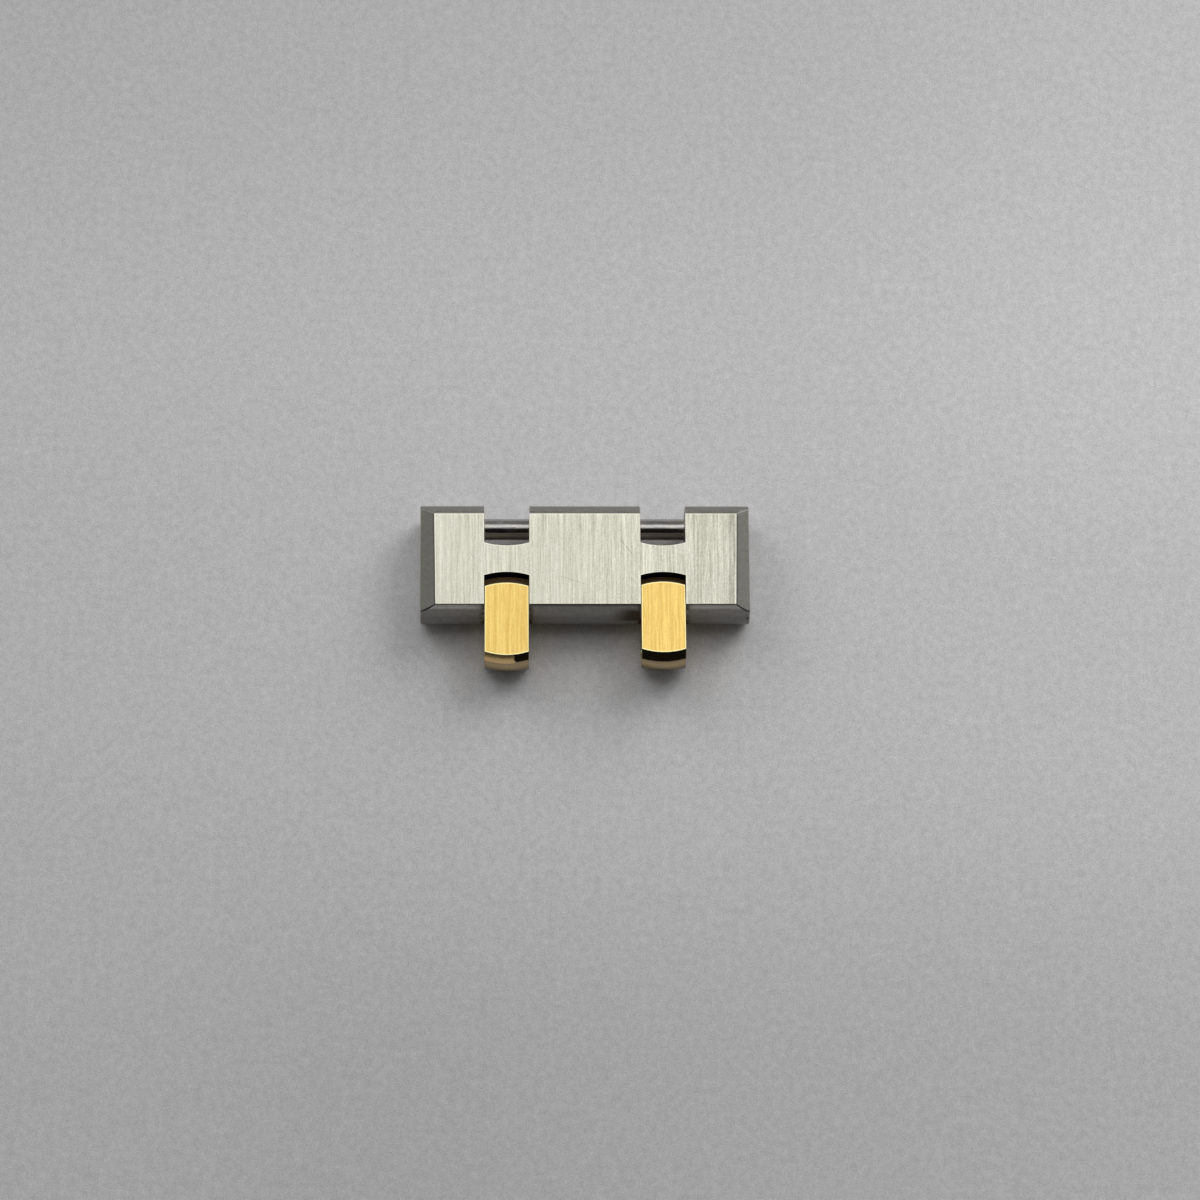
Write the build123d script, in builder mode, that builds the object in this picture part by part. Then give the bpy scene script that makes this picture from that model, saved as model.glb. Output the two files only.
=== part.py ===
from build123d import *
import os
from math import cos, hypot, isclose, radians, sin, sqrt

# One link of a five-row watch bracelet, in millimetres.
# X runs across the bracelet, Y along it towards the watch head, and Z up, away from the wrist.
# The origin is on the ground plane, under the middle of the whole link.

# Steel body
link_width = 20.0
link_thickness = 2.58
centre_block_width = 6.76
notch_width = 2.73
bridge_waist = 0.7
face_beyond_pin = 0.62
left_bevel_width = 0.89
right_bevel_width = 0.79
bevel_drop = 0.28
bevel_flare_angle = 1.0
underside_bevel = 0.15
notch_mouth_radius = 0.22
face_edge_radius = 0.15
edge_break = 0.05
notch_edge_break = 0.02
notch_edge_angle = 45
hole_chamfer = 0.06
notch_plan_radius = 5.1

# Gold links
gold_sink = 0.07
gold_face_beyond_pin = 0.765
gold_plan_radius = 4.8
gold_edge_radius = 0.03
right_link_lift_angle = 4.3

# Pins and collars
pin_diameter = 1.3
pin_recess = 0.15
pin_end_chamfer = 0.12
grip_groove_depth = 0.04
collar_wall = 0.22
collar_length = 2.4
collar_slit = 0.25

# Clearances
body_gap = 0.19
notch_clearance = 0.473
side_clearance = 0.02
hinge_clearance = 0.03
slide_clearance = 0.02
seat_clearance = 0.01
overrun = 1.0

# Heights and radii about the pin axes
pin_height = link_thickness / 2
end_radius = hypot(pin_height, face_beyond_pin)
gold_half_thickness = pin_height - gold_sink
gold_end_radius = hypot(gold_half_thickness, gold_face_beyond_pin)
notch_radius = gold_end_radius + notch_clearance
pin_radius = pin_diameter / 2
body_bore_radius = pin_radius + slide_clearance
gold_bore_radius = pin_radius + hinge_clearance
collar_bore_radius = pin_radius + slide_clearance
collar_radius = collar_bore_radius + collar_wall
housing_radius = collar_radius + seat_clearance

# Places along the bracelet
pin_spacing = 2 * notch_radius + bridge_waist
gold_pitch = 2 * end_radius + body_gap
body_middle = (gold_pitch + gold_end_radius - end_radius) / 2
front_pin_y = body_middle - pin_spacing / 2
rear_pin_y = body_middle + pin_spacing / 2
body_front = front_pin_y - end_radius
body_rear = rear_pin_y + end_radius
body_length = body_rear - body_front

# Places across the bracelet
notch_x = (centre_block_width + notch_width) / 2
gold_width = notch_width - 2 * side_clearance
pin_length = link_width - 2 * pin_recess
collar_left = -centre_block_width / 2
groove_middle = collar_left + collar_length / 2

# The hollow that one notch takes out of the body. It is round about the pin axis, bows towards
# the bridge, has a rounded mouth and flares a little where it meets the two faces. Here its pin
# axis is through the origin and the bridge at +Y.
with BuildPart() as notch_hollow:
    disc_middle = notch_radius - notch_plan_radius
    with BuildSketch(Plane.YZ):
        Circle(notch_radius)
        with Locations((disc_middle / 2, 0)):
            Rectangle(-disc_middle, 2 * notch_radius)
    revolve(axis=Axis((0, disc_middle, 0), (0, 0, 1)))
    with BuildSketch(Plane.YZ.offset(-notch_width / 2)):
        with Locations((disc_middle, 0)):
            Rectangle(2 * notch_plan_radius, 2 * notch_radius)
    extrude(amount=notch_width, mode=Mode.INTERSECT)
    mouth_y = notch_mouth_radius - end_radius
    corner_x = notch_width / 2 + notch_mouth_radius
    with BuildSketch(Plane.XY.offset(-notch_radius)):
        with Locations((0, mouth_y)):
            Rectangle(2 * corner_x, notch_mouth_radius + overrun, align=(Align.CENTER, Align.MAX))
        with Locations((-corner_x, mouth_y), (corner_x, mouth_y)):
            Circle(notch_mouth_radius, mode=Mode.SUBTRACT)
    extrude(amount=2 * notch_radius)
    face_reach = sqrt(notch_radius**2 - pin_height**2)
    with BuildSketch(Plane.XY.offset(pin_height - notch_edge_break)):
        with Locations((0, disc_middle)):
            Circle(face_reach - disc_middle)
            Rectangle(notch_width, 2 * notch_plan_radius, mode=Mode.INTERSECT)
    extrude(amount=2 * notch_edge_break, taper=-notch_edge_angle)
    mirror(about=Plane.XY)

# Steel body: a slab with ends that are round about the two pin axes
with BuildPart() as steel_link_body:
    with BuildSketch(Plane.YZ.offset(-link_width / 2)):
        front_face_end = front_pin_y - face_beyond_pin
        rear_face_end = rear_pin_y + face_beyond_pin
        with BuildLine():
            Line((front_face_end, 0), (rear_face_end, 0))
            ThreePointArc((rear_face_end, 0), (body_rear, pin_height), (rear_face_end, link_thickness))
            Line((rear_face_end, link_thickness), (front_face_end, link_thickness))
            ThreePointArc((front_face_end, link_thickness), (body_front, pin_height), (front_face_end, 0))
        make_face()
    extrude(amount=link_width)
    # The top bevels widen a little towards the front, and the wrist bevels run true along the link.
    wrist_bevel = (0, underside_bevel, -underside_bevel, 0)
    for side, bevel_width in ((-1, left_bevel_width), (1, right_bevel_width)):
        top_bevel = (link_thickness, bevel_width, bevel_drop, bevel_flare_angle)
        for face_z, width, drop, flare in (top_bevel, wrist_bevel):
            turn = -side * radians(flare)
            ridge_plane = Plane(
                origin=(side * (link_width / 2 - width), body_middle, face_z),
                x_dir=(cos(turn), sin(turn), 0),
                z_dir=(sin(turn), -cos(turn), 0),
            )
            with BuildSketch(ridge_plane):
                with BuildLine():
                    Polyline(
                        (-side * width, drop),
                        (2 * side * width, drop),
                        (2 * side * width, -2 * drop),
                        close=True,
                    )
                make_face()
            extrude(amount=body_length, both=True, mode=Mode.SUBTRACT)
    # The edges of the top face and the mitres of its side bevels are rounded. The edges of the
    # side walls and of the wrist face are just broken.
    faces_by_height = steel_link_body.faces().sort_by(Axis.Z)
    bevels = [
        face
        for face in faces_by_height.filter_by(GeomType.PLANE)
        if 0 < abs(face.normal_at().X) < 1 and face.center().Z > pin_height
    ]
    mitres = [edge for face in bevels for edge in face.edges() if edge.geom_type != GeomType.LINE]
    fillet([*faces_by_height[-1].edges(), *mitres], radius=face_edge_radius)
    faces_by_side = steel_link_body.faces().sort_by(Axis.X)
    fillet([*faces_by_side[0].edges(), *faces_by_side[-1].edges()], radius=edge_break)
    fillet(steel_link_body.faces().sort_by(Axis.Z)[0].edges(), radius=edge_break)
    for side in (-1, 1):
        with Locations((side * notch_x, front_pin_y, pin_height)):
            add(notch_hollow.part, mode=Mode.SUBTRACT)
        with Locations(Location((side * notch_x, rear_pin_y, pin_height), (0, 0, 180))):
            add(notch_hollow.part, mode=Mode.SUBTRACT)
    for pin_y in (front_pin_y, rear_pin_y):
        with BuildSketch(Plane.YZ.offset(-link_width / 2 - overrun)):
            with Locations((pin_y, pin_height)):
                Circle(body_bore_radius)
        extrude(amount=link_width + 2 * overrun, mode=Mode.SUBTRACT)
        with BuildSketch(Plane.YZ.offset(collar_left)):
            with Locations((pin_y, pin_height)):
                Circle(housing_radius)
        extrude(amount=collar_length, mode=Mode.SUBTRACT)
    hole_mouths = [
        edge
        for edge in steel_link_body.edges().filter_by(GeomType.CIRCLE)
        if isclose(edge.radius, body_bore_radius, rel_tol=1e-6)
        and isclose(abs(edge.center().X), link_width / 2, rel_tol=1e-6)
    ]
    chamfer(hole_mouths, length=hole_chamfer)

steel_link_body.part.label = "steel_link_body"

# Gold link, with its hinge axis through the origin and its free end towards the front.
# Each end is the rim of a flat disc: round about a pin axis and bowed across the link.
with BuildPart() as gold_blank:
    rim_middle = gold_plan_radius - gold_end_radius
    rim_face_end = rim_middle + gold_face_beyond_pin
    for facing, pin_y, mode in ((1, 0, Mode.ADD), (-1, -gold_pitch, Mode.INTERSECT)):
        disc_middle = pin_y - facing * rim_middle
        with BuildSketch(Plane.YZ):
            with BuildLine():
                Polyline(
                    (disc_middle + facing * rim_face_end, -gold_half_thickness),
                    (disc_middle, -gold_half_thickness),
                    (disc_middle, gold_half_thickness),
                    (disc_middle + facing * rim_face_end, gold_half_thickness),
                )
                ThreePointArc(
                    (disc_middle + facing * rim_face_end, gold_half_thickness),
                    (disc_middle + facing * gold_plan_radius, 0),
                    (disc_middle + facing * rim_face_end, -gold_half_thickness),
                )
            make_face()
        revolve(axis=Axis((0, disc_middle, 0), (0, 0, 1)), mode=mode)
    with BuildSketch(Plane.YZ.offset(-gold_width / 2)):
        with Locations((-gold_pitch / 2, 0)):
            Rectangle(gold_pitch + 2 * gold_end_radius, 2 * gold_half_thickness)
    extrude(amount=gold_width, mode=Mode.INTERSECT)
    fillet(gold_blank.edges(), radius=gold_edge_radius)
    with BuildSketch(Plane.YZ.offset(-gold_width / 2)):
        with Locations((0, 0), (-gold_pitch, 0)):
            Circle(gold_bore_radius)
    extrude(amount=gold_width, mode=Mode.SUBTRACT)

# Friction pin, along X with its middle at the origin and a shallow groove where the collar grips
with BuildPart() as pin_blank:
    with BuildSketch(Plane.YZ.offset(-pin_length / 2)):
        Circle(pin_radius)
    extrude(amount=pin_length)
    chamfer(pin_blank.edges().filter_by(GeomType.CIRCLE), length=pin_end_chamfer)
    with BuildSketch(Plane.YZ.offset(groove_middle - collar_length / 2)):
        Circle(pin_radius)
        Circle(pin_radius - grip_groove_depth, mode=Mode.SUBTRACT)
    extrude(amount=collar_length, mode=Mode.SUBTRACT)

# Split collar, along X from the origin, with its slit towards the wrist
with BuildPart() as collar_blank:
    with BuildSketch(Plane.YZ):
        Circle(collar_radius)
        Circle(collar_bore_radius, mode=Mode.SUBTRACT)
        with Locations((0, -collar_radius)):
            Rectangle(collar_slit, 2 * collar_wall + collar_slit, mode=Mode.SUBTRACT)
    extrude(amount=collar_length)

os.makedirs("parts", exist_ok=True)
export_step(steel_link_body.part, "parts/steel_link_body.step")

for name, side, lift in (("left_gold_link", -1, 0), ("right_gold_link", 1, right_link_lift_angle)):
    with BuildPart() as gold_link:
        with Locations(Location((side * notch_x, front_pin_y, pin_height), (-lift, 0, 0))):
            add(gold_blank.part)
    gold_link.part.label = name
    export_step(gold_link.part, f"parts/{name}.step")

for row, pin_y in (("front", front_pin_y), ("rear", rear_pin_y)):
    with BuildPart() as pin:
        with Locations((0, pin_y, pin_height)):
            add(pin_blank.part)
    pin.part.label = f"{row}_pin"
    export_step(pin.part, f"parts/{row}_pin.step")

    with BuildPart() as collar:
        with Locations((collar_left, pin_y, pin_height)):
            add(collar_blank.part)
    collar.part.label = f"{row}_collar"
    export_step(collar.part, f"parts/{row}_collar.step")
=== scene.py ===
from functools import reduce
from math import cos, pi, radians, sin, sqrt, tan

import bpy
from mathutils import Matrix, Vector


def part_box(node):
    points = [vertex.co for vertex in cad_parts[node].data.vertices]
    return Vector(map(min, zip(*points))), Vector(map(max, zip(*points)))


# One link of a two-tone watch bracelet, lying on pale paper.
# X runs across the bracelet, Y along it and Z up. Blender works in metres, and the finishes are
# laid out in millimetres.

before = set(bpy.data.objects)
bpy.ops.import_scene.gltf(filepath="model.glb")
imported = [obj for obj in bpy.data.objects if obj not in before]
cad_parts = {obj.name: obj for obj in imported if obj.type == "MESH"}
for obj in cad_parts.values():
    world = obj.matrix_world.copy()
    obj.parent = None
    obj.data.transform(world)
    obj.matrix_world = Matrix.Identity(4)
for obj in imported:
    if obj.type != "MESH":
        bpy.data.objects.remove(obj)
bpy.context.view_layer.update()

MM = 0.001


def corners(node):
    """The low and the high corner of a part's box, in millimetres."""
    low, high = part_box(node)
    return low / MM, high / MM


# Places that the finishes follow, read from the parts
body_low, body_high = corners("steel_link_body")
front_pin_low, front_pin_high = corners("front_pin")
rear_pin_low, rear_pin_high = corners("rear_pin")
gold_low, gold_high = corners("left_gold_link")

HALF_WIDTH = body_high.x
BODY_MIDDLE_Y = (body_low.y + body_high.y) / 2
FRONT_PIN_Y = (front_pin_low.y + front_pin_high.y) / 2
REAR_PIN_Y = (rear_pin_low.y + rear_pin_high.y) / 2
PIN_HEIGHT = (front_pin_low.z + front_pin_high.z) / 2
NOTCH_X = -(gold_low.x + gold_high.x) / 2
GOLD_HALF_WIDTH = (gold_high.x - gold_low.x) / 2
GOLD_END_RADIUS = gold_high.y - FRONT_PIN_Y
GOLD_PITCH = FRONT_PIN_Y - gold_low.y - GOLD_END_RADIUS

# Sizes of the parts' outlines, in millimetres
FACE_BEYOND_PIN = 0.62
LEFT_BEVEL_WIDTH = 0.89
RIGHT_BEVEL_WIDTH = 0.79
BEVEL_FLARE = radians(1.0)
NOTCH_SIDE_GAP = 0.02
NOTCH_END_GAP = 0.473
NOTCH_HALF_WIDTH = GOLD_HALF_WIDTH + NOTCH_SIDE_GAP
NOTCH_RADIUS = GOLD_END_RADIUS + NOTCH_END_GAP
NOTCH_PLAN_RADIUS = 5.1
GOLD_PLAN_RADIUS = 4.8
GOLD_FACE_BEYOND_PIN = 0.765
RIGHT_LINK_LIFT = radians(4.3)

# A surface is square to an axis where the share of its facing along that axis passes from the
# first number to the second.
SQUARE = (0.99, 0.998)
NEARLY_SQUARE = (0.97, 0.99)


class Value:
    """A number that changes over a surface. Arithmetic on it adds Math nodes."""

    def __init__(self, recipe, socket):
        self.recipe = recipe
        self.socket = socket

    def math(self, operation, *values):
        """A Math node that works on this value and the others."""
        return self.recipe.node(
            "ShaderNodeMath", {"operation": operation}, dict(enumerate((self, *values)))
        )

    def __add__(self, other):
        return self.math("ADD", other)

    __radd__ = __add__

    def __mul__(self, other):
        return self.math("MULTIPLY", other)

    def __sub__(self, other):
        return self.math("SUBTRACT", other)

    def __rsub__(self, other):
        return self.recipe.node("ShaderNodeMath", {"operation": "SUBTRACT"}, {0: other, 1: self})

    def __truediv__(self, other):
        return self.math("DIVIDE", other)

    def __abs__(self):
        return self.math("ABSOLUTE")

    def least(self, other):
        return self.math("MINIMUM", other)

    def most(self, other):
        return self.math("MAXIMUM", other)

    def away(self, other):
        """The long side of the triangle whose short sides are this value and the other."""
        return (self * self + other * other).math("SQRT")

    def swing(self, strength):
        """A noise brought from round a half to round 0, times a strength."""
        return (self - 0.5) * strength

    def rise(self, low, high):
        """0 up to low, 1 from high, and a smooth step between. With low above high it falls."""
        return self.recipe.node(
            "ShaderNodeMapRange",
            {"interpolation_type": "SMOOTHSTEP"},
            {"Value": self, "From Min": low, "From Max": high},
        )

    def near(self, middle, reach, edge):
        """1 within reach of the middle value, and 0 from an edge's width beyond."""
        return abs(self - middle).rise(reach + edge, reach)


class Recipe:
    """The nodes of one material or of the room's light."""

    def __init__(self, tree):
        self.tree = tree
        self.tree.nodes.clear()

    def node(self, kind, settings=None, inputs=None, output=0):
        """A new node. Its inputs are known by name, or by number where several share a name."""
        made = self.tree.nodes.new(kind)
        for name, setting in (settings or {}).items():
            setattr(made, name, setting)
        for name, value in (inputs or {}).items():
            if isinstance(value, Value):
                self.tree.links.new(value.socket, made.inputs[name])
            elif made.inputs[name].type == "RGBA":
                made.inputs[name].default_value = (*value, 1.0)
            else:
                made.inputs[name].default_value = value
        return Value(self, made.outputs[output])

    def split(self, vector):
        """The three numbers of a place or direction."""
        return [self.node("ShaderNodeSeparateXYZ", {}, {0: vector}, part) for part in range(3)]

    def joined(self, x, y, z):
        """A place from its three numbers."""
        return self.node("ShaderNodeCombineXYZ", {}, {0: x, 1: y, 2: z})

    def place(self):
        """Where a point is, in millimetres."""
        point = self.node("ShaderNodeTexCoord", output="Object")
        return self.split(self.shade(point, 1 / MM))

    def facing(self):
        """Which way the surface faces."""
        return self.split(self.node("ShaderNodeTexCoord", output="Normal"))

    def noise(self, x, y, z, seed, detail=2.0, roughness=0.5):
        """Even noise between 0 and 1, with its middle at a half and grains about one unit wide."""
        return self.node(
            "ShaderNodeTexNoise",
            {"noise_dimensions": "4D"},
            {
                "Vector": self.joined(x, y, z),
                "W": seed,
                "Scale": 1.0,
                "Detail": detail,
                "Roughness": roughness,
            },
        )

    def mix(self, factor, low, high):
        """A number between two numbers."""
        return self.node("ShaderNodeMix", {"data_type": "FLOAT"}, {0: factor, 2: low, 3: high})

    def tint(self, factor, low, high):
        """A colour between two colours."""
        return self.node("ShaderNodeMix", {"data_type": "RGBA"}, {0: factor, 6: low, 7: high}, 2)

    def turn(self, factor, low, high):
        """A direction between two directions."""
        return self.node("ShaderNodeMix", {"data_type": "VECTOR"}, {0: factor, 4: low, 5: high}, 1)

    def shade(self, colour, factor):
        """A colour or a place with each of its three numbers times a factor."""
        inputs = {0: colour, "Scale": factor}
        return self.node("ShaderNodeVectorMath", {"operation": "SCALE"}, inputs)

    def relief(self, height, depth, under=None):
        """The way a surface faces once its height, in steps of a depth in millimetres, is added."""
        inputs = {"Strength": 1.0, "Distance": depth * MM, "Height": height}
        if under is not None:
            inputs["Normal"] = under
        return self.node("ShaderNodeBump", {}, inputs)

    def metal(self, colour, roughness, facing, bareness=1.0):
        """Bare metal. Where its bareness is below 1, a dull film covers some of it."""
        shader = self.node(
            "ShaderNodeBsdfPrincipled",
            {},
            {"Base Color": colour, "Metallic": bareness, "Roughness": roughness, "Normal": facing},
        )
        self.close("ShaderNodeOutputMaterial", shader)

    def close(self, kind, shader):
        """Joins the last shader to the output."""
        out = self.tree.nodes.new(kind)
        self.tree.links.new(shader.socket, out.inputs["Surface"])


def new_material(name):
    """A new material and its recipe, which is still empty."""
    material = bpy.data.materials.new(name)
    material.use_nodes = True
    return material, Recipe(material.node_tree)


def brushing(recipe, across, along, height, width, length, seed):
    """Hairlines along one direction, from 0 to 1. Width and length are in millimetres."""
    return recipe.noise(
        across * (1 / width), along * (1 / length), height * (1 / length), roughness=0.6, seed=seed
    )


# Stray scratches: their directions in degrees, how many lie side by side and end to end in a
# millimetre, and how high the noise has to be for one to show
STRAY_ANGLES = (18, -24, 52, -67)
STRAY_SIDE_BY_SIDE = 22.0
STRAY_END_TO_END = 0.9
STRAY_SHOWS = (0.74, 0.82)

# A single scratch is full over this share of its half width, and each end fades over this share of
# its length.
SCRATCH_CORE = 0.3
SCRATCH_FADE = 0.25


def stray_lines(recipe, x, y, z, seed):
    """1 on a few fine scratches that lie every way, and 0 between them."""
    hairs = []
    for number, angle in enumerate(STRAY_ANGLES):
        slant = radians(angle)
        across = (x * cos(slant) + y * sin(slant)) * STRAY_SIDE_BY_SIDE
        along = (y * cos(slant) - x * sin(slant)) * STRAY_END_TO_END
        hair = recipe.noise(across, along, z * STRAY_END_TO_END, detail=1.0, seed=seed + number)
        hairs.append(hair.rise(*STRAY_SHOWS))
    return reduce(Value.most, hairs)


def scratch(x, y, start, end, half_width):
    """1 on a straight scratch between two points of a flat face, and 0 beside it."""
    reach = Vector(end) - Vector(start)
    way = reach.normalized()
    right = x - start[0]
    up = y - start[1]
    along = (right * way.x + up * way.y) / reach.length
    beside = abs(right * way.y - up * way.x)
    ends = along.rise(0.0, SCRATCH_FADE) * along.rise(1.0, 1.0 - SCRATCH_FADE)
    return beside.rise(half_width, half_width * SCRATCH_CORE) * ends


# The steel body. Each colour here and below is the share of red, green and blue that a finish throws
# back, with painted light and shade in some as said beside them, and each depth is in millimetres.

FACE_STEEL = (0.72, 0.713, 0.605)
DARK_HAIR_STEEL = (0.73, 0.71, 0.575)
# The ends' steel is painted darker than the face's: painted shade.
END_STEEL = (0.40, 0.388, 0.368)
BEVEL_STEEL = (0.5, 0.495, 0.455)
SIDE_STEEL = (0.5, 0.5, 0.475)
# The notch walls' steel is painted darker than the rest: painted shade.
MILLED_STEEL = (0.38, 0.35, 0.31)
EDGE_STEEL = (0.5, 0.495, 0.465)
# The mitred corners are painted dark: painted shade that dims their reflection of the windows.
SHADED_MITRE_STEEL = (0.17, 0.167, 0.16)
# Brown of the stains beside the gold links, which also paints the shade of the gaps there
BROWN_STAIN_AND_SHADE = (0.10, 0.078, 0.055)
BRUSHED_DEPTH = 0.004

# Roughness of the steel. The rounded edges that face the rear are matt, and the others polished.
FACE_ROUGHNESS = 0.40
END_ROUGHNESS = 0.43
BEVEL_ROUGHNESS = 0.13
SIDE_ROUGHNESS = 0.16
MILLED_ROUGHNESS = 0.45
POLISHED_EDGE_ROUGHNESS = 0.12
MATT_EDGE_ROUGHNESS = 0.45

# The share of the facing along the link from which a surface belongs to a round end, and the share
# of the facing sideways up to which it still does
ROUND_END = (0.43, 0.46)
STRAIGHT_END = (0.08, 0.04)

# How squarely the side bevels face up and outwards
BEVEL_UP = 0.95
BEVEL_OUT = 0.313

# How far inside the edge of the face the bright rim, a painted highlight, ends and is full
STEEL_HIGHLIGHT_RIM = (0.085, 0.03)

# Heights over which the painted shade low in the notches fades and the front end's painted light rises,
# and where the painted dark reflection along the front top edge and the painted dark line along the
# rear one begin
NOTCH_SHADE_FADES = (0.3, 2.0)
FRONT_PAINTED_LIGHT = (1.85, 2.35)
FRONT_DARK_EDGE_REFLECTION = (2.48, 2.53)
REAR_DARK_EDGE = (2.46, 2.52)

# The strip under the front top edge is painted lighter still on the outer blocks, a painted reflection.
OUTER_BLOCKS = (5.8, 6.8)
PAINTED_LIGHT_STRIP = (2.34, 2.5)

# Where the nick at the right corner of the front end is
NICK_X = 9.85
NICK_HEIGHT = 1.86

# The stains beside the gold links, which also paint the shade of the gaps there, fade with the distance
# from them. One more lies left of the right link, between a start and an end across the link and round
# a height.
STAIN_AND_SHADE_FADE = (0.42, 0.04)
LEFT_STAIN_START = (1.4, 2.9)
LEFT_STAIN_END = (3.6, 3.4)
LEFT_STAIN_HEIGHT = 2.0

# The dark line inside the right ridge, in two bands: distance from the ridge, half width, soft edge and
# strength
DARK_LINE_BANDS = (
    (0.17, 0.03, 0.05, 0.3),
    (0.33, 0.06, 0.08, 0.1),
)

# Single scratches of the face: start, end, half width and strength
SCRATCHES = (
    ((1.94, 3.02), (2.98, 1.68), 0.05, 1.0),
    ((-7.06, 2.02), (-6.64, 1.42), 0.05, 1.0),
    ((-1.80, 0.52), (0.30, -0.19), 0.045, 0.8),
    ((0.46, 0.31), (0.94, 0.65), 0.04, 0.8),
)


def ridge_margins(x, y):
    """How far a point of the body's top face lies inside its left and its right ridge."""
    face_half_width = HALF_WIDTH - (BODY_MIDDLE_Y - y) * tan(BEVEL_FLARE)
    return face_half_width - LEFT_BEVEL_WIDTH + x, face_half_width - RIGHT_BEVEL_WIDTH - x


def body_margin(x, y):
    """How far a point of the body's top face lies inside the nearest edge, in millimetres."""
    from_left, from_right = ridge_margins(x, y)
    across = from_left.least(from_right)
    along = (REAR_PIN_Y - FRONT_PIN_Y) / 2 + FACE_BEYOND_PIN - abs(y - BODY_MIDDLE_Y)
    from_notch = abs(abs(x) - NOTCH_X)
    beside = from_notch - NOTCH_HALF_WIDTH
    arc_middle = NOTCH_PLAN_RADIUS - NOTCH_RADIUS
    arc_radius = arc_middle + sqrt(NOTCH_RADIUS**2 - PIN_HEIGHT**2)
    margin = across.least(along)
    for way, pin_y in ((1, FRONT_PIN_Y), (-1, REAR_PIN_Y)):
        past_arc = from_notch.away(y - pin_y + way * arc_middle) - arc_radius
        margin = margin.least(beside.most(past_arc))
    return margin


def steel_face(recipe, x, y, z, facing_z, stray):
    """Colour, roughness and height of the face, which is brushed along the link."""
    hairlines = brushing(recipe, x, y, z, width=0.07, length=0.65, seed=1.0)
    streaks = brushing(recipe, x, y, z, width=0.10, length=3.2, seed=2.0)
    runs = brushing(recipe, x, y, z, width=0.2, length=11.0, seed=3.0)
    bright_lines = brushing(recipe, x, y, z, width=0.075, length=1.6, seed=6.0).rise(0.68, 0.8)
    specks = recipe.noise(x * 13.0, y * 9.0, z * 9.0, detail=1.0, seed=4.0)
    clouds = recipe.noise(x * 0.35, y * 0.35, z * 0.35, seed=5.0)

    # The grain is calmer towards the left, and the far right is a little darker.
    strength = 0.70 + x.rise(-7.0, 8.5) * 0.42
    grain = hairlines.swing(0.42) + streaks.swing(0.6) + runs.swing(0.5) + specks.swing(0.34)
    grain = grain * (strength * 1.6) + bright_lines * 0.12 - streaks.rise(0.34, 0.22) * 0.1
    level = 1.0 - x.rise(3.0, 9.0) * 0.06 + clouds.swing(0.12)

    marks = reduce(Value.most, [scratch(x, y, *mark) * share for *mark, share in SCRATCHES])
    # A painted highlight along the edges of the face
    highlight_rim = body_margin(x, y).rise(*STEEL_HIGHLIGHT_RIM) * facing_z.rise(*SQUARE)
    from_right = ridge_margins(x, y)[1]
    dark_line = sum(from_right.near(*band) * share for *band, share in DARK_LINE_BANDS)
    level = level + grain - marks * 0.18 - stray * 0.08 + highlight_rim * 0.2 - dark_line

    colour = recipe.tint(grain.rise(0.0, -0.12), FACE_STEEL, DARK_HAIR_STEEL)
    roughness = FACE_ROUGHNESS + hairlines.swing(0.12) - highlight_rim * 0.08
    height = hairlines * 0.4 + streaks * 0.6 - marks * 0.9 - stray * 0.3
    return recipe.shade(colour, level), roughness, height


def end_painted_light(recipe, x, z, front):
    """How light the body's two ends are painted, from their top edges down: painted light and shade,
    with painted dark lines along the top edges.
    """
    front_level = recipe.mix(z.rise(*FRONT_PAINTED_LIGHT), 0.84, 1.5) - z.rise(*FRONT_DARK_EDGE_REFLECTION) * 0.8
    front_level = front_level + abs(x).rise(*OUTER_BLOCKS) * z.rise(*PAINTED_LIGHT_STRIP) * 1.2
    rear_level = 0.72 - z.rise(*REAR_DARK_EDGE) * 0.2
    return recipe.mix(front, rear_level, front_level)


def stains_and_shade_by_links(recipe, x, y, z):
    """1 on the stains beside the gold links' notches, together with painted shade of the gaps there,
    and 0 away from them.
    """
    ragged = recipe.noise(x * 3.0, y * 4.0, z * 4.0, detail=3.0, roughness=0.6, seed=22.0)
    from_link = abs(abs(x) - NOTCH_X) - GOLD_HALF_WIDTH
    beside_links = from_link.rise(*STAIN_AND_SHADE_FADE) * ragged.rise(0.3, 0.6) * 0.95
    left_of_right_link = x.rise(*LEFT_STAIN_START) * x.rise(*LEFT_STAIN_END)
    left_of_right_link = left_of_right_link * z.near(LEFT_STAIN_HEIGHT, 0.25, 0.3)
    return beside_links.most(left_of_right_link * ragged.rise(0.1, 0.45))


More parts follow.
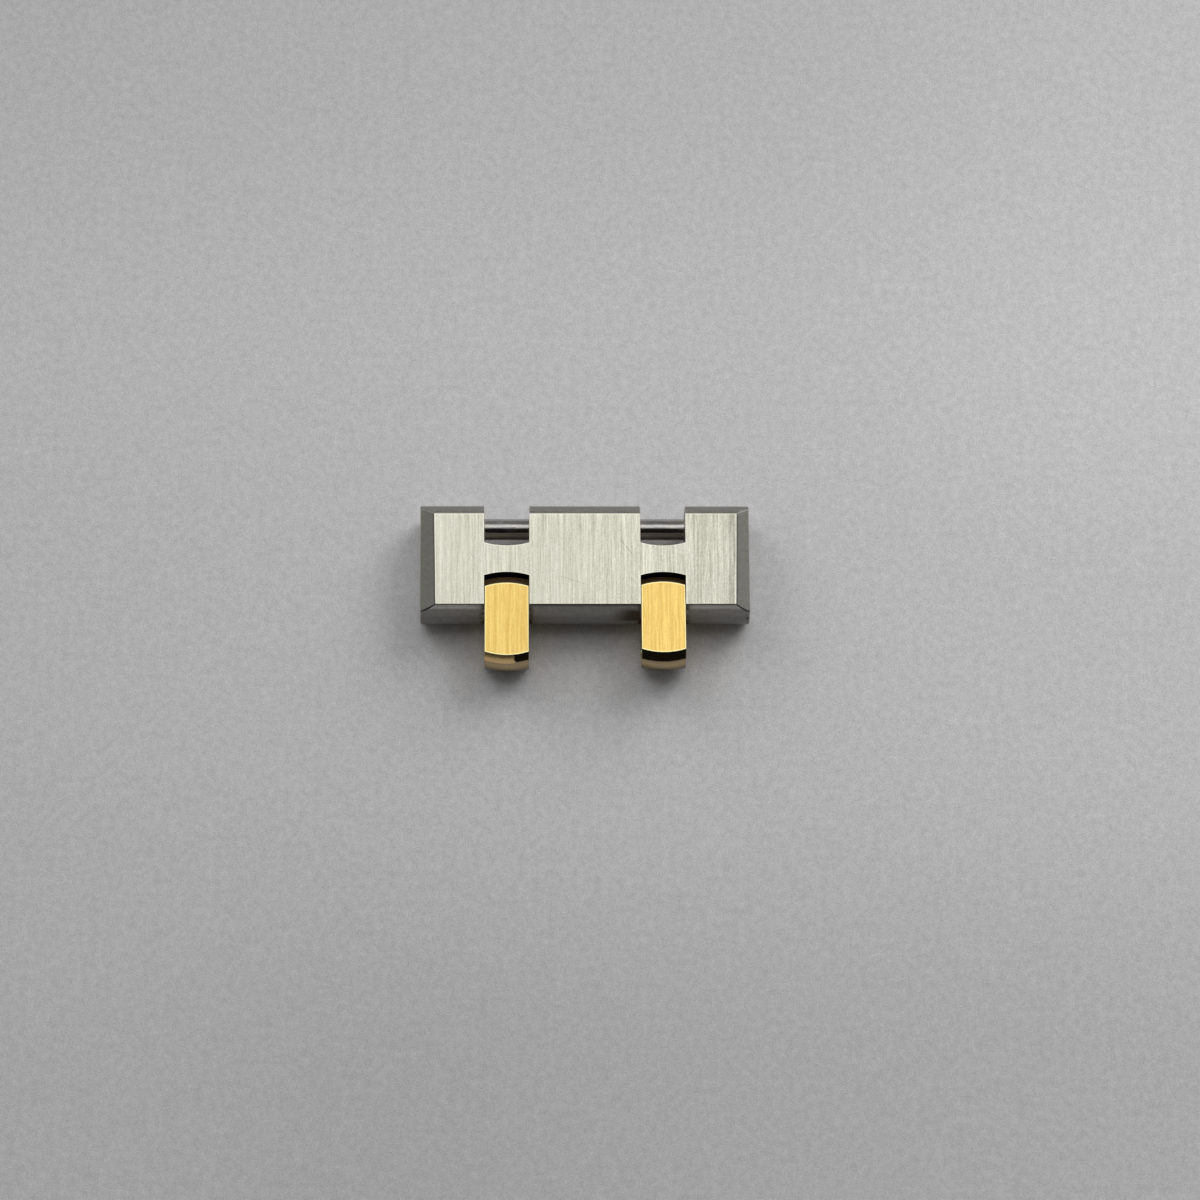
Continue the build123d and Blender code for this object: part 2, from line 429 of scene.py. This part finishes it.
def body_steel():
    """The steel body's finishes, each laid where the surface faces its way."""
    material, recipe = new_material("brushed_body_steel")
    x, y, z = recipe.place()
    facing_x, facing_y, facing_z = recipe.facing()

    # Where each finish lies
    brushed = abs(facing_z).rise(*SQUARE)
    bevel = facing_z.near(BEVEL_UP, 0.012, 0.012) * abs(facing_x).near(BEVEL_OUT, 0.02, 0.02)
    side_wall = abs(facing_x).rise(*NEARLY_SQUARE)
    in_notch = abs(abs(x) - NOTCH_X).rise(NOTCH_HALF_WIDTH + 0.04, NOTCH_HALF_WIDTH + 0.01)
    milled = in_notch * (1 - brushed)
    end = abs(facing_y).rise(*ROUND_END) * abs(facing_x).rise(*STRAIGHT_END) * (1 - in_notch)
    mitre_shade = facing_y.rise(0.02, 0.1) * abs(facing_x).rise(0.03, 0.08) * (1 - in_notch)
    front = facing_y.rise(-0.3, -0.4)

    # Wear, and stains with painted shade beside the gold links
    stray = stray_lines(recipe, x, y, z, seed=10.0)
    cross_lines = recipe.noise(x * 0.8, y * 9.0, z * 9.0, roughness=0.6, seed=20.0)
    mottle = recipe.noise(x * 3.5, y * 5.0, z * 5.0, roughness=0.6, seed=21.0)
    use_lines = brushing(recipe, x + z * 1.7, y, z, width=0.07, length=0.5, seed=30.0)
    stains_and_shade = stains_and_shade_by_links(recipe, x, y, z) * front
    nick = x.near(NICK_X, 0.02, 0.08) * z.near(NICK_HEIGHT, 0.03, 0.1) * front

    # Satin ends with faint lines across the link and painted light and shade, and the rounded edges
    # round every face
    end_wear = 1.0 + mottle.swing(0.6) + cross_lines.swing(0.2) - nick * 0.8
    end_colour = recipe.shade(END_STEEL, end_painted_light(recipe, x, z, front) * end_wear)
    end_roughness = END_ROUGHNESS + front * 0.2 + mottle.swing(0.1) + stains_and_shade * 0.1
    # The mitres are painted dark: painted shade.
    edge_colour = recipe.tint(mitre_shade, EDGE_STEEL, SHADED_MITRE_STEEL)
    rearward = facing_y.rise(0.0, 0.1)
    edge_roughness = recipe.mix(rearward, POLISHED_EDGE_ROUGHNESS, MATT_EDGE_ROUGHNESS)
    colour = recipe.tint(end, edge_colour, end_colour)
    # Brown stains beside the gold links, also standing in for painted shade of the gaps there
    colour = recipe.tint(stains_and_shade * 0.88, colour, BROWN_STAIN_AND_SHADE)
    roughness = recipe.mix(end, edge_roughness, end_roughness)

    # Polished bevels and sides with the faint hairlines of use, milled notches and the brushed face
    polish = 1.0 + use_lines.swing(0.2) + mottle.swing(0.35) - stray * 0.1
    from_left, from_right = ridge_margins(x, y)
    # A painted dark line on the bevels along the crease beside the face: painted shade.
    crease_shade = from_left.least(from_right).near(-0.06, 0.02, 0.025)
    # The left bevel is painted a little lighter than the right one: painted light.
    bevel_level = polish - crease_shade * 0.35 + x.rise(1.0, -1.0) * 0.06
    # The notch walls are painted darker towards the bottom: painted shade.
    milled_level = (0.85 + mottle * 0.3) * (0.3 + z.rise(*NOTCH_SHADE_FADES) * 0.65)
    bevel_roughness = BEVEL_ROUGHNESS + use_lines.swing(0.06)
    side_roughness = SIDE_ROUGHNESS + use_lines.swing(0.08) + stray * 0.2
    face_colour, face_roughness, face_height = steel_face(recipe, x, y, z, facing_z, stray)
    finishes = (
        (bevel, recipe.shade(BEVEL_STEEL, bevel_level), bevel_roughness),
        (side_wall, recipe.shade(SIDE_STEEL, polish), side_roughness),
        (milled, recipe.shade(MILLED_STEEL, milled_level), MILLED_ROUGHNESS),
        (brushed, face_colour, face_roughness),
    )
    for where, finish_colour, finish_roughness in finishes:
        colour = recipe.tint(where, colour, finish_colour)
        roughness = recipe.mix(where, roughness, finish_roughness)

    plain_height = use_lines * 0.06 - stray * 0.12 - nick * 6.0
    plain_height = plain_height + (end * 0.25 + milled * 0.6) * cross_lines
    height = recipe.mix(brushed, plain_height, face_height)
    recipe.metal(colour, roughness, recipe.relief(height, BRUSHED_DEPTH), 1.0 - milled * 0.5)
    return material


# The gold links

FACE_GOLD = (0.90, 0.645, 0.205)
DARK_HAIR_GOLD = (0.95, 0.638, 0.175)
HIGHLIGHT_RIM_GOLD = (1.0, 0.90, 0.46)
# The ends are painted darker than the face: painted shade.
END_GOLD = (0.42, 0.325, 0.19)
REAR_END_GOLD = (0.55, 0.34, 0.15)
# The lighter flat on the left link's end: a painted reflection.
REFLECTION_FLAT_GOLD = (0.85, 0.60, 0.28)
SIDE_GOLD = (0.80, 0.57, 0.22)

# Roughness of the gold. The ends are mirrors in front and dull where they face the rear.
GOLD_FACE_ROUGHNESS = 0.38
GOLD_SIDE_ROUGHNESS = 0.24
REFLECTION_FLAT_ROUGHNESS = 0.32
MIRROR_END_ROUGHNESS = 0.06
DULL_END_ROUGHNESS = 0.35

# Where the rear end begins behind the pin's axis, and the heights above the axis over which the front
# end's painted shade fades and the rear end's painted shade deepens
REAR_END = (0.3, 0.5)
FRONT_END_SHADE_FADES = (0.0, 0.4)
REAR_END_SHADE = (0.65, 1.05)

# How far inside the edge of the face the bright rim, a painted highlight, ends and is full
GOLD_HIGHLIGHT_RIM = (0.10, 0.04)

# The lighter flat under the left link's front edge, a painted reflection on a turned facing: its height
# above the pin's axis, where it ends across the link, and how much further down than the rounded end it
# faces
FLAT_HEIGHT = 1.01
FLAT_END = (0.52, 0.44)
FLAT_TILT = radians(17)


def gold_margin(across, along):
    """How far a point of a gold link's face lies inside the nearest edge, in millimetres."""
    arc_middle = GOLD_PLAN_RADIUS - GOLD_END_RADIUS
    arc_radius = arc_middle + GOLD_FACE_BEYOND_PIN
    margin = GOLD_HALF_WIDTH - abs(across)
    margin = margin.least(arc_radius - across.away(along + arc_middle))
    return margin.least(arc_radius - across.away(along + GOLD_PITCH - arc_middle))


def gold(name, middle_x, lift, lightness, reflection_flat):
    """The finish of one gold link. It follows the link's own length when the link is lifted."""
    material, recipe = new_material(name)
    x, y, z = recipe.place()
    facing_x, facing_y, facing_z = recipe.facing()
    across = x - middle_x
    ahead = y - FRONT_PIN_Y
    up = z - PIN_HEIGHT
    along = ahead * cos(lift) - up * sin(lift)
    above = ahead * sin(lift) + up * cos(lift)

    # Where each finish lies
    brushed = abs(facing_y * sin(lift) + facing_z * cos(lift)).rise(*SQUARE)
    side_wall = abs(facing_x).rise(*NEARLY_SQUARE)
    rear_end = along.rise(*REAR_END) * (1 - brushed)

    # Grain and wear. The two links differ through the seeds.
    seed = middle_x + 40.0
    hairlines = brushing(recipe, across, along, above, width=0.065, length=0.9, seed=seed)
    streaks = brushing(recipe, across, along, above, width=0.11, length=5.0, seed=seed + 10.0)
    specks = recipe.noise(across * 13.0, along * 10.0, above * 10.0, detail=1.0, seed=seed + 20.0)
    stray = stray_lines(recipe, across, along, above, seed=seed + 30.0)
    polish_lines = recipe.noise(across * 1.2, along * 9.0, above * 9.0, roughness=0.6, seed=seed + 40.0)

    # The brushed face and its bright rim, a painted highlight
    grain = hairlines.swing(0.42) + streaks.swing(0.5) + specks.swing(0.22)
    highlight_rim = gold_margin(across, along).rise(*GOLD_HIGHLIGHT_RIM)
    face_colour = recipe.tint(grain.rise(0.0, -0.07), FACE_GOLD, DARK_HAIR_GOLD)
    face_colour = recipe.shade(face_colour, lightness + grain * 1.4 - stray * 0.08)
    face_colour = recipe.tint(highlight_rim, face_colour, HIGHLIGHT_RIM_GOLD)
    face_roughness = GOLD_FACE_ROUGHNESS + hairlines.swing(0.12) - highlight_rim * 0.08
    face_height = hairlines * 0.4 + streaks * 0.6 - stray * 0.3

    # The polished ends with painted shade, and the lighter flat on one of them, a painted reflection
    # The front end is painted darker below, and the rear end lighter below and darker towards its top
    # edge: painted light and shade.
    end_level = (0.9 + polish_lines * 0.2) * (0.5 + above.rise(*FRONT_END_SHADE_FADES) * 0.5)
    rear_colour = recipe.shade(REAR_END_GOLD, 1.5 - above.rise(*REAR_END_SHADE) * 1.35)
    end_colour = recipe.tint(rear_end, recipe.shade(END_GOLD, end_level), rear_colour)
    if reflection_flat:
        ragged = recipe.noise(across * 3.0, along * 3.0, above * 6.0, roughness=0.6, seed=90.0)
        flat = above.near(FLAT_HEIGHT, 0.18, 0.03) * (across + ragged.swing(0.5)).rise(*FLAT_END)
        flat = flat * along.rise(-GOLD_PITCH, -GOLD_PITCH - 0.1) * (1 - brushed)
        # The flat's lighter colour is a painted reflection.
        flat_colour = recipe.shade(REFLECTION_FLAT_GOLD, 0.85 + ragged * 0.3)
        end_colour = recipe.tint(flat, end_colour, flat_colour)

    side_colour = recipe.shade(SIDE_GOLD, 0.9 + hairlines * 0.2)
    colour = recipe.tint(side_wall, end_colour, side_colour)
    colour = recipe.tint(brushed, colour, face_colour)
    mirror_roughness = MIRROR_END_ROUGHNESS + polish_lines * 0.04
    roughness = recipe.mix(facing_y.rise(0.0, 0.1), mirror_roughness, DULL_END_ROUGHNESS)
    roughness = recipe.mix(side_wall, roughness, GOLD_SIDE_ROUGHNESS)
    roughness = recipe.mix(brushed, roughness, face_roughness)
    height = recipe.mix(brushed, polish_lines * 0.04 - stray * 0.05, face_height)
    facing = recipe.relief(height, BRUSHED_DEPTH)
    if reflection_flat:
        facing = recipe.turn(flat, facing, recipe.relief(above, tan(FLAT_TILT), facing))
        roughness = recipe.mix(flat, roughness, REFLECTION_FLAT_ROUGHNESS)
    recipe.metal(colour, roughness, facing, 1.0 - rear_end * 0.5)
    return material


# The pins and collars

PIN_STEEL = (0.45, 0.445, 0.43)
TARNISHED_PIN_STEEL = (0.44, 0.415, 0.37)
COLLAR_STEEL = (0.5, 0.495, 0.47)
PIN_ROUGHNESS = 0.13
COLLAR_ROUGHNESS = 0.35
PIN_DEPTH = 0.002
TURNED_DEPTH = 0.004


def pin_steel():
    """Drawn and polished bar with smears and a little tarnish."""
    material, recipe = new_material("pin_steel")
    x, y, z = recipe.place()
    drawn = recipe.noise(x * 0.5, y * 12.0, z * 12.0, seed=100.0)
    bloom = recipe.noise(x * 1.1, y * 1.6, z * 1.6, roughness=0.6, seed=101.0)
    rings = recipe.noise(x * 30.0, y * 0.6, z * 0.6, detail=1.0, seed=102.0)
    smears = recipe.noise(x * 1.3, y * 7.0, z * 7.0, detail=3.0, roughness=0.6, seed=103.0)
    level = 0.3 + drawn * 0.25 + bloom * 0.35 + smears * 0.8
    colour = recipe.tint(bloom.rise(0.4, 0.65), PIN_STEEL, TARNISHED_PIN_STEEL)
    roughness = PIN_ROUGHNESS + drawn.swing(0.1) + smears.rise(0.5, 0.7) * 0.12
    height = drawn * 0.6 + rings * 0.2 + smears * 3.0
    recipe.metal(recipe.shade(colour, level), roughness, recipe.relief(height, PIN_DEPTH))
    return material


def collar_steel():
    """Turned steel, a little stained."""
    material, recipe = new_material("collar_steel")
    x, y, z = recipe.place()
    turned = recipe.noise(x * 20.0, y * 2.0, z * 2.0, seed=110.0)
    stained = recipe.noise(x * 1.5, y * 1.5, z * 1.5, roughness=0.6, seed=111.0)
    colour = recipe.shade(COLLAR_STEEL, 0.75 + turned * 0.3 + stained * 0.2)
    recipe.metal(colour, COLLAR_ROUGHNESS + turned * 0.1, recipe.relief(turned, TURNED_DEPTH))
    return material


materials = {
    "steel_link_body": body_steel(),
    "left_gold_link": gold("left_gold", -NOTCH_X, 0.0, lightness=1.0, reflection_flat=True),
    "right_gold_link": gold("right_gold", NOTCH_X, RIGHT_LINK_LIFT, lightness=0.95, reflection_flat=False),
}
materials["front_pin"] = materials["rear_pin"] = pin_steel()
materials["front_collar"] = materials["rear_collar"] = collar_steel()
for node_name, node_material in materials.items():
    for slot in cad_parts[node_name].material_slots:
        slot.material = node_material


# The paper that the link lies on

PAPER_SIZE = 2.0
PAPER_GREY = (0.66, 0.657, 0.670)
PAPER_ROUGHNESS = 0.9
PAPER_SHINE = 0.1
PAPER_DEPTH = 0.012

# Painted light and shade: how much lighter the paper gets per millimetre to the right and to the back,
# and at most
PAPER_LIGHT_SLOPE = 0.0022
PAPER_LIGHT_SLOPE_END = 0.08

# Painted shade: from where to where the paper gets darker far behind and far in front, and by how much
PAINTED_SHADE_BANDS = ((14.0, 40.0), (-8.0, -30.0))
BAND_SHADE = 0.13

# Painted light: the lighter corners at the back right and the front left, from where to where across
# and along, and by how much
PAINTED_LIGHT_CORNERS = (
    ((10.0, 34.0), (0.0, 12.0), 0.06),
    ((-8.0, -34.0), (-12.0, -26.0), 0.08),
)


def paper():
    """Pale paper with fibres, blotches and a few specks, and painted light and shade in broad slopes,
    bands and corners.
    """
    material, recipe = new_material("pale_paper")
    x, y, z = recipe.place()
    fibres = recipe.noise(x * 11.0, y * 11.0, z, roughness=0.7, seed=120.0)
    blotches = recipe.noise(x * 2.2, y * 2.2, z, detail=3.0, roughness=0.6, seed=121.0)
    clouds = recipe.noise(x * 0.6, y * 0.6, z, detail=4.0, roughness=0.65, seed=123.0)
    specks = recipe.noise(x * 4.0, y * 4.0, z, detail=1.0, seed=122.0).rise(0.83, 0.88)

    # Painted light and shade over the paper
    level = 1.0
    for way in (x, y):
        level = level + (way * PAPER_LIGHT_SLOPE).least(PAPER_LIGHT_SLOPE_END).most(-PAPER_LIGHT_SLOPE_END)
    for along in PAINTED_SHADE_BANDS:
        level = level - y.rise(*along) * BAND_SHADE
    for across, along, lighter in PAINTED_LIGHT_CORNERS:
        level = level + x.rise(*across) * y.rise(*along) * lighter
    grain = fibres.swing(0.88) + blotches.swing(0.44) + clouds.swing(0.13)
    level = level * (1.0 + grain - specks * 0.25)
    surface = recipe.node(
        "ShaderNodeBsdfPrincipled",
        {},
        {
            "Base Color": recipe.shade(PAPER_GREY, level),
            "Roughness": PAPER_ROUGHNESS,
            "Specular IOR Level": PAPER_SHINE,
            "Normal": recipe.relief(fibres + blotches, PAPER_DEPTH),
        },
    )
    recipe.close("ShaderNodeOutputMaterial", surface)
    return material


bpy.ops.object.select_all(action="DESELECT")
bpy.ops.mesh.primitive_plane_add(size=PAPER_SIZE)
floor = bpy.context.object
floor.name = "paper"
floor.data.materials.append(paper())


# Light: a large soft lamp above and a little behind, and a dim room with two windows behind

LAMP_DISTANCE = 0.6
LAMP_TILT = radians(23)
LAMP_HALF_WIDTH = radians(20)
LAMP_HALF_DEPTH = radians(16)
LAMP_BRIGHTNESS = 1.18

ROOM_WHITE = (1.0, 0.995, 0.98)
DIMMEST = 0.012
SIDE_GLOW = 0.38
BACK_GLOW = 0.25

# The shares of a direction's own way over which the glows come up
SIDEWAYS = (0.3, 0.8)
NOT_IN_FRONT = (-0.95, -0.3)
BEHIND = (0.2, 0.8)

# Round patches of light in the room: degrees to the side of straight behind, degrees above level,
# half width and soft edge in degrees, and brightness. The first is a pale spot on the ceiling, and
# the others are the windows.
PATCHES = (
    (0, 87, 5, 9, 0.33),
    (-38, 25, 11, 14, 2.85),
    (39, 25, 11, 14, 5.1),
)


def soft_lamp():
    """A rectangular lamp that looks down at the link."""
    data = bpy.data.lights.new("soft_lamp", "AREA")
    data.shape = "RECTANGLE"
    data.size = 2 * LAMP_DISTANCE * tan(LAMP_HALF_WIDTH)
    data.size_y = 2 * LAMP_DISTANCE * tan(LAMP_HALF_DEPTH)
    data.energy = LAMP_BRIGHTNESS * pi * data.size * data.size_y
    lamp = bpy.data.objects.new("soft_lamp", data)
    lamp.location = LAMP_DISTANCE * Vector((0, sin(LAMP_TILT), cos(LAMP_TILT)))
    lamp.rotation_euler = (-LAMP_TILT, 0, 0)
    bpy.context.scene.collection.objects.link(lamp)


def patch(right, back, up, side, height, reach, edge):
    """1 within reach of a direction of the room, and 0 from an edge's width beyond."""
    side = radians(side)
    height = radians(height)
    toward = right * (sin(side) * cos(height)) + back * (cos(side) * cos(height)) + up * sin(height)
    return toward.rise(cos(radians(reach + edge)), cos(radians(reach)))


def room():
    """A dim room that glows a little at both sides and behind, with the patches of light in it."""
    world = bpy.data.worlds.new("room")
    world.use_nodes = True
    bpy.context.scene.world = world
    recipe = Recipe(world.node_tree)
    right, back, up = recipe.split(recipe.node("ShaderNodeTexCoord", output="Generated"))
    level = DIMMEST + abs(right).rise(*SIDEWAYS) * back.rise(*NOT_IN_FRONT) * SIDE_GLOW
    level = level + back.rise(*BEHIND) * BACK_GLOW
    for *place, brightness in PATCHES:
        level = level + patch(right, back, up, *place) * brightness
    light = recipe.node(
        "ShaderNodeBackground", {}, {"Color": recipe.shade(ROOM_WHITE, level), "Strength": 1.0}
    )
    recipe.close("ShaderNodeOutputWorld", light)


soft_lamp()
room()


# Camera: high in front, as in the photograph. Its distance is in millimetres, and the link's middle
# is seen at a place in pixels from the picture's top left corner.

SENSOR_WIDTH = 36.0
PICTURE_WIDTH = 1200
FOCAL_PIXELS = 4400.0
CAMERA_DISTANCE = 268.2
CAMERA_PITCH = radians(17.15)
CAMERA_YAW = radians(-1.17)
CAMERA_ROLL = radians(0.03)
MIDDLE_SEEN_AT = (584.6, 565.05)
NEAREST_SEEN = 0.005
FARTHEST_SEEN = 5.0

camera_turn = (
    Matrix.Rotation(CAMERA_PITCH, 3, "X")
    @ Matrix.Rotation(CAMERA_YAW, 3, "Y")
    @ Matrix.Rotation(CAMERA_ROLL, 3, "Z")
)
picture_middle = PICTURE_WIDTH / 2
sight = Vector(
    (
        (MIDDLE_SEEN_AT[0] - picture_middle) / FOCAL_PIXELS,
        (picture_middle - MIDDLE_SEEN_AT[1]) / FOCAL_PIXELS,
        -1.0,
    )
)
link_middle = Vector((0, BODY_MIDDLE_Y, PIN_HEIGHT))
camera_data = bpy.data.cameras.new("camera")
camera_data.sensor_width = SENSOR_WIDTH
camera_data.lens = SENSOR_WIDTH * FOCAL_PIXELS / PICTURE_WIDTH
camera_data.clip_start = NEAREST_SEEN
camera_data.clip_end = FARTHEST_SEEN
camera = bpy.data.objects.new("camera", camera_data)
camera.location = (link_middle - camera_turn @ sight * CAMERA_DISTANCE) * MM
camera.rotation_euler = camera_turn.to_euler()
bpy.context.scene.collection.objects.link(camera)
bpy.context.scene.camera = camera
bpy.context.scene.view_settings.view_transform = "Standard"
